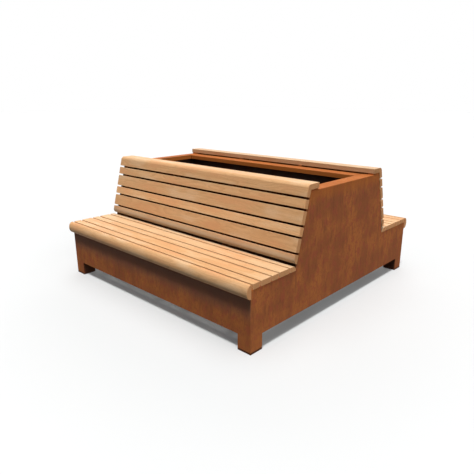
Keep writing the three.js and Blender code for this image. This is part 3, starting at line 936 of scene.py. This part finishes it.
class BENCH_OT_back_boards(bpy.types.Operator):
    """Make the leaning back boards and the caps of both sides"""

    bl_idname = "bench.back_boards"
    bl_label = "Back boards"

    def execute(self, context):
        boards = context.scene.bench.boards
        axes = slope_axes(boards)
        level = Vector((0, 1, 0)), Vector((0, 0, 1))
        places = ["lowest", "middle", "middle", "middle", "middle", "top"]
        # The nosings and seat boards come first.
        order = len(SIDES) * (1 + SEAT_BOARDS)
        for side in SIDES:
            for number, place in enumerate(places, 1):
                node = f"front_back_{number}_board"
                body = board_body(node, back_corners(node, boards, axes, place), boards)
                place_board(context, body, side, f"back_{number}", order, (axes[0], -axes[1]))
                order += 1
            node = "front_cap_board"
            body = board_body(node, cap_corners(node, boards, axes), boards)
            place_board(context, body, side, "cap", order, level)
            order += 1
        return {"FINISHED"}


def nodes_in(slot):
    """The CAD nodes of a slot."""
    parts = frame["record"]["subparts"]
    return [p["node"] for p in parts if p["material_slot"] == slot]


class BENCH_OT_steelwork(bpy.types.Operator):
    """Make the weathering-steel carcass with rounded folds and eased edges"""

    bl_idname = "bench.steelwork"
    bl_label = "Steelwork"

    def execute(self, context):
        for node in nodes_in(STEEL):
            body = eased_copy(node, context.scene.bench.steel)
            finished(body, f"{node}_steel", STEEL, context, [node])
        return {"FINISHED"}


class BENCH_OT_planter(bpy.types.Operator):
    """Make the planter's floor and bearers, its drains, and dress its lining"""

    bl_idname = "bench.planter"
    bl_label = "Planter"

    def execute(self, context):
        bench = context.scene.bench
        for node in nodes_in(GALVANISED):
            body = tube_body(node, bench) if "bearer" in node else eased_copy(node, bench.steel)
            finished(body, f"{node}_zinc", GALVANISED, context, [node])
        for node in nodes_in(PLASTIC):
            body = drain_body(node, bench.hidden)
            finished(body, f"{node}_tube", PLASTIC, context, [node])
        for node in nodes_in(LINER):
            mesh = NODES[node].data
            mesh.materials.clear()
            mesh.materials.append(material_for(context, LINER))
        return {"FINISHED"}


class BENCH_OT_stage(bpy.types.Operator):
    """Make the camera, the lamps, the floor and the world"""

    bl_idname = "bench.stage"
    bl_label = "Stage"

    def execute(self, context):
        stage = context.scene.bench.stage
        make_camera(context, stage)
        for name, (spread, towards) in LAMPS.items():
            sun(context, name, getattr(stage, name), spread, towards)
        make_floor(context, stage)
        make_world(context, stage)
        context.scene.view_settings.view_transform = "Standard"
        return {"FINISHED"}


def make_camera(context, stage):
    """The camera at the photograph's place and angle."""
    data = bpy.data.cameras.new("camera")
    data.lens = stage.lens
    data.sensor_width = SENSOR_WIDTH
    data.sensor_fit = "HORIZONTAL"
    camera = bpy.data.objects.new("camera", data)
    context.scene.collection.objects.link(camera)
    turn = Matrix.Rotation(stage.turn, 4, "Z")
    tilt = Matrix.Rotation(math.pi / 2 - stage.tilt, 4, "X")
    roll = Matrix.Rotation(stage.roll, 4, "Z")
    camera.matrix_world = Matrix.Translation(stage.place) @ turn @ tilt @ roll
    context.scene.camera = camera


def sun(context, name, power, spread, towards):
    """A sun lamp that shines from a direction, with its spread in degrees."""
    data = bpy.data.lights.new(name, "SUN")
    data.energy = power
    data.angle = math.radians(spread)
    lamp = bpy.data.objects.new(name, data)
    lamp.rotation_euler = Vector(towards).to_track_quat("Z", "Y").to_euler()
    context.scene.collection.objects.link(lamp)


def seen_directly(tree):
    """1 for rays that show the backdrop: from the camera, in gloss and through glass."""
    rays = add(tree, "LightPath").outputs
    kinds = ("Is Camera Ray", "Is Glossy Ray", "Is Transmission Ray")
    return greatest(tree, *[rays[kind] for kind in kinds])


def make_floor(context, stage):
    """A plain pale floor, white in the light and grey in the bench's shadow."""
    bm = bmesh.new()
    bmesh.ops.create_grid(bm, x_segments=1, y_segments=1, size=FLOOR_REACH)
    mesh = bpy.data.meshes.new("floor")
    bm.to_mesh(mesh)
    bm.free()
    floor = bpy.data.objects.new("floor", mesh)
    context.scene.collection.objects.link(floor)
    material, tree = new_material("studio_floor")
    shown = add(tree, "BsdfDiffuse", {"Color": stage.floor})
    # Far off, the floor fades into the white of the backdrop.
    place = add(tree, "TexCoord").outputs["Object"]
    distance = add(tree, "VectorMath", {0: place}, operation="LENGTH").outputs["Value"]
    near, far = FLOOR_FADE
    levels = {1: near, 2: far, 3: stage.floor_lift, 4: stage.floor_lift + FLOOR_GLOW}
    glow = add(tree, "MapRange", {0: distance, **levels}, **EASED)
    lift = add(tree, "Emission", {"Color": WHITE, "Strength": glow})
    bright = add(tree, "AddShader", {0: shown, 1: lift})
    quiet = add(tree, "BsdfDiffuse", {"Color": [stage.floor_bounce] * 3})
    mix = add(tree, "MixShader", {0: seen_directly(tree), 1: quiet, 2: bright})
    add(tree, "OutputMaterial", {"Surface": mix})
    mesh.materials.append(material)


def make_world(context, stage):
    """White where it is seen, and a quiet even light elsewhere."""
    world = bpy.data.worlds.new("studio")
    world.use_nodes = True
    tree = world.node_tree
    tree.nodes.clear()
    quiet = add(tree, "Background", {"Color": WHITE, "Strength": stage.ambient})
    white = add(tree, "Background", {"Color": WHITE, "Strength": 1.0})
    mix = add(tree, "MixShader", {0: seen_directly(tree), 1: quiet, 2: white})
    add(tree, "OutputWorld", {"Surface": mix})
    context.scene.world = world


class BENCH_PT_panel(bpy.types.Panel):
    """Lists the settings and the operators of the bench"""

    bl_idname = "BENCH_PT_panel"
    bl_label = "Bench with planter"
    bl_space_type = "VIEW_3D"
    bl_region_type = "UI"
    bl_category = "Bench"

    def draw(self, context):
        bench = context.scene.bench
        for group in (bench.boards, bench.steel, bench.hidden, bench.stage):
            column = self.layout.column()
            for name in group.__annotations__:
                column.prop(group, name)
        for operator in OPERATORS:
            self.layout.operator(operator.bl_idname)


OPERATORS = (
    BENCH_OT_stage,
    BENCH_OT_seat_boards,
    BENCH_OT_back_boards,
    BENCH_OT_steelwork,
    BENCH_OT_planter,
)
CLASSES = (
    BoardSettings,
    SteelSettings,
    HiddenSettings,
    StageSettings,
    BenchSettings,
    *OPERATORS,
    BENCH_PT_panel,
)


def register():
    """Adds the classes, and the settings to the scene."""
    for cls in CLASSES:
        bpy.utils.register_class(cls)
    bpy.types.Scene.bench = PointerProperty(type=BenchSettings)


def unregister():
    """Takes the settings and the classes away again."""
    del bpy.types.Scene.bench
    for cls in reversed(CLASSES):
        bpy.utils.unregister_class(cls)


def main():
    """Sets the stage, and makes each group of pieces."""
    register()
    bpy.ops.bench.stage()
    bpy.ops.bench.seat_boards()
    bpy.ops.bench.back_boards()
    bpy.ops.bench.steelwork()
    bpy.ops.bench.planter()


if __name__ == "__main__":
    main()
